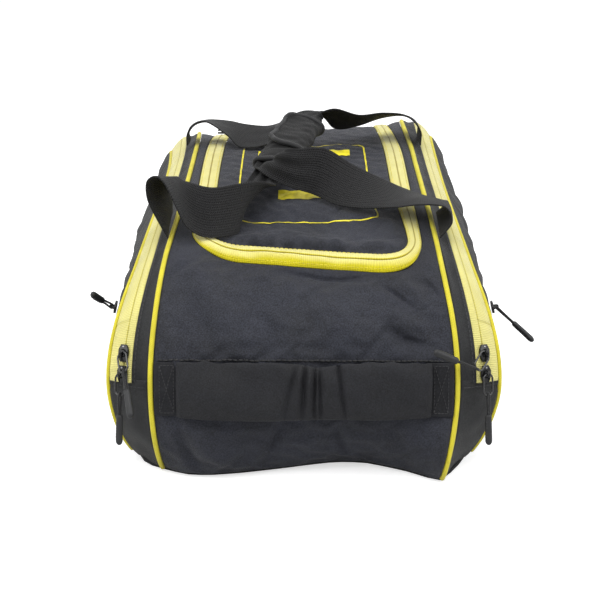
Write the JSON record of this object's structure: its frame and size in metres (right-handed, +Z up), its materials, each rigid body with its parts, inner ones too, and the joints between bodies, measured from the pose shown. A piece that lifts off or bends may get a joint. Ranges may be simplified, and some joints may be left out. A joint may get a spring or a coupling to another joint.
{
  "type": "racket tournament bag",
  "caption": "Soft black duffel bag with a zipped lid, zipped side compartments, padded end grips and webbing carry handles held by a wrap.",
  "frame": {"origin": "centre of the underside, on the floor", "axes": "+Z up, +Y along the bag's length from the end with the zip pulls to the other end, +X to the right seen from the pulls' end"},
  "size_m": [0.4243, 0.6694, 0.2681],
  "materials": {
    "black_polyester": "matte woven",
    "padded_polyester": "matte woven, padded",
    "board": "matte",
    "lining": "matte",
    "yellow_tape": "coated zip tape",
    "webbing": "ribbed",
    "wrap": "matte, bound edges",
    "slider": "black satin",
    "wire": "black satin",
    "pull": "matte"
  },
  "bodies": {
    "bag": {"base_panel": "black_polyester", "base_board": "board", "front_end_panel": "black_polyester", "rear_end_panel": "black_polyester", "lid_frame_tape": "yellow_tape", "left_lid_rail": "black_polyester", "left_piping": "yellow_tape", "left_gusset": "black_polyester", "left_zip_inner_tape": "yellow_tape", "front_left_foot": "black_polyester", "rear_left_foot": "black_polyester", "left_lower_side": "black_polyester", "left_partition": "lining", "front_left_grip_tab": "padded_polyester", "rear_left_grip_tab": "padded_polyester", "right_lid_rail": "black_polyester", "right_piping": "yellow_tape", "right_gusset": "black_polyester", "right_zip_inner_tape": "yellow_tape", "front_right_foot": "black_polyester", "rear_right_foot": "black_polyester", "right_lower_side": "black_polyester", "right_partition": "lining", "front_right_grip_tab": "padded_polyester", "rear_right_grip_tab": "padded_polyester"},
    "lid": {"lid_panel": "black_polyester", "lid_tape": "yellow_tape"},
    "left_flap": {"left_side_flap": "black_polyester", "left_zip_outer_tape": "yellow_tape", "left_outer_piping": "yellow_tape", "left_pocket_tape": "webbing"},
    "right_flap": {"right_side_flap": "black_polyester", "right_zip_outer_tape": "yellow_tape", "right_outer_piping": "yellow_tape", "right_pocket_tape": "webbing"},
    "left_handle": {"left_handle_webbing": "webbing"},
    "right_handle": {"right_handle_webbing": "webbing", "handle_wrap": "wrap"},
    "front_grip_body": {"front_grip": "padded_polyester"},
    "rear_grip_body": {"rear_grip": "padded_polyester"},
    "left_upper_slider_body": {"left_upper_slider": "slider"},
    "left_upper_pull_body": {"left_upper_link": "wire", "left_upper_pull": "pull"},
    "left_lower_slider_body": {"left_lower_slider": "slider"},
    "left_lower_pull_body": {"left_lower_link": "wire", "left_lower_pull": "pull"},
    "right_upper_slider_body": {"right_upper_slider": "slider"},
    "right_upper_pull_body": {"right_upper_link": "wire", "right_upper_pull": "pull"},
    "right_lower_slider_body": {"right_lower_slider": "slider"},
    "right_lower_pull_body": {"right_lower_link": "wire", "right_lower_pull": "pull"},
    "lid_slider_body": {"lid_slider": "slider"},
    "lid_pull_body": {"lid_link": "wire", "lid_pull": "pull"},
    "left_pocket_slider_body": {"left_pocket_slider": "slider"},
    "left_pocket_pull_body": {"left_pocket_pull": "pull"},
    "right_pocket_slider_body": {"right_pocket_slider": "slider"},
    "right_pocket_pull_body": {"right_pocket_pull": "pull"}
  },
  "joints": [
    {"name": "lid_hinge", "type": "hinge", "parent": "bag", "child": "lid", "pos_m": [0, 0.24665, 0.17716], "axis": [-1, 0, 0], "range_deg": [0, 100]},
    {"name": "left_flap_fold", "type": "hinge", "parent": "bag", "child": "left_flap", "pos_m": [-0.182, 0, 0.095], "axis": [0, -1, 0], "range_deg": [0, 90]},
    {"name": "right_flap_fold", "type": "hinge", "parent": "bag", "child": "right_flap", "pos_m": [0.182, 0, 0.095], "axis": [0, 1, 0], "range_deg": [0, 90]},
    {"name": "left_handle_swing", "type": "hinge", "parent": "bag", "child": "left_handle", "pos_m": [-0.13, -0.04446, 0.21151], "axis": [0, -0.9984, -0.0557], "range_deg": [0, 78], "deforming": ["left_handle_webbing"]},
    {"name": "right_handle_swing", "type": "hinge", "parent": "bag", "child": "right_handle", "pos_m": [0.13, -0.04446, 0.21151], "axis": [0, 0.9984, 0.0557], "range_deg": [0, 78], "deforming": ["right_handle_webbing", "handle_wrap"]},
    {"name": "front_grip_pull", "type": "slide", "parent": "bag", "child": "front_grip_body", "axis": [0, -1, 0], "range_m": [0, 0.025], "stiffness_N_per_m": 40},
    {"name": "rear_grip_pull", "type": "slide", "parent": "bag", "child": "rear_grip_body", "axis": [0, 1, 0], "range_m": [0, 0.025], "stiffness_N_per_m": 40},
    {"name": "left_upper_slider_run", "type": "hinge", "parent": "bag", "child": "left_upper_slider_body", "pos_m": [-0.1562, -0.16833, 0.05788], "axis": [-0.9891, 0.1137, 0.0932], "range_deg": [0, 40]},
    {"name": "right_upper_slider_run", "type": "hinge", "parent": "bag", "child": "right_upper_slider_body", "pos_m": [0.1562, -0.16833, 0.05788], "axis": [-0.9891, -0.1137, -0.0932], "range_deg": [0, 40]},
    {"name": "left_lower_slider_run", "type": "slide", "parent": "bag", "child": "left_lower_slider_body", "axis": [-0.0317, -0.314, -0.9489], "range_m": [0, 0.003]},
    {"name": "right_lower_slider_run", "type": "slide", "parent": "bag", "child": "right_lower_slider_body", "axis": [0.0317, -0.314, -0.9489], "range_m": [0, 0.003]},
    {"name": "lid_slider_run", "type": "hinge", "parent": "bag", "child": "lid_slider_body", "pos_m": [0, 0, -0.58582], "axis": [1, 0, 0], "range_deg": [0, 7.5]},
    {"name": "left_pocket_slider_run", "type": "slide", "parent": "left_flap", "child": "left_pocket_slider_body", "axis": [0, 1, 0], "range_m": [0, 0.29]},
    {"name": "right_pocket_slider_run", "type": "slide", "parent": "right_flap", "child": "right_pocket_slider_body", "axis": [0, 1, 0], "range_m": [0, 0.29]},
    {"name": "left_upper_pull_lift", "type": "hinge", "parent": "left_upper_slider_body", "child": "left_upper_pull_body", "pos_m": [-0.167, -0.28955, 0.11969], "axis": [-0.782, 0.3019, -0.5453], "range_deg": [0, 100]},
    {"name": "right_upper_pull_lift", "type": "hinge", "parent": "right_upper_slider_body", "child": "right_upper_pull_body", "pos_m": [0.167, -0.28955, 0.11969], "axis": [-0.6616, -0.1158, 0.7409], "range_deg": [0, 100]},
    {"name": "left_lower_pull_lift", "type": "hinge", "parent": "left_lower_slider_body", "child": "left_lower_pull_body", "pos_m": [-0.16814, -0.29703, 0.10152], "axis": [-0.8384, 0.5253, -0.1458], "range_deg": [0, 100]},
    {"name": "right_lower_pull_lift", "type": "hinge", "parent": "right_lower_slider_body", "child": "right_lower_pull_body", "pos_m": [0.16814, -0.29703, 0.10152], "axis": [-0.8384, -0.5253, 0.1458], "range_deg": [0, 100]},
    {"name": "lid_pull_lift", "type": "hinge", "parent": "lid_slider_body", "child": "lid_pull_body", "pos_m": [-0.098, 0.1917, 0.20551], "axis": [1, 0, 0], "range_deg": [0, 110]},
    {"name": "left_pocket_pull_lift", "type": "hinge", "parent": "left_pocket_slider_body", "child": "left_pocket_pull_body", "pos_m": [-0.1871, -0.19, 0.12645], "axis": [-0.1539, -0.5299, -0.834], "range_deg": [0, 90]},
    {"name": "right_pocket_pull_lift", "type": "hinge", "parent": "right_pocket_slider_body", "child": "right_pocket_pull_body", "pos_m": [0.1871, -0.19, 0.12645], "axis": [-0.139, -0.6428, 0.7533], "range_deg": [0, 80]}
  ]
}
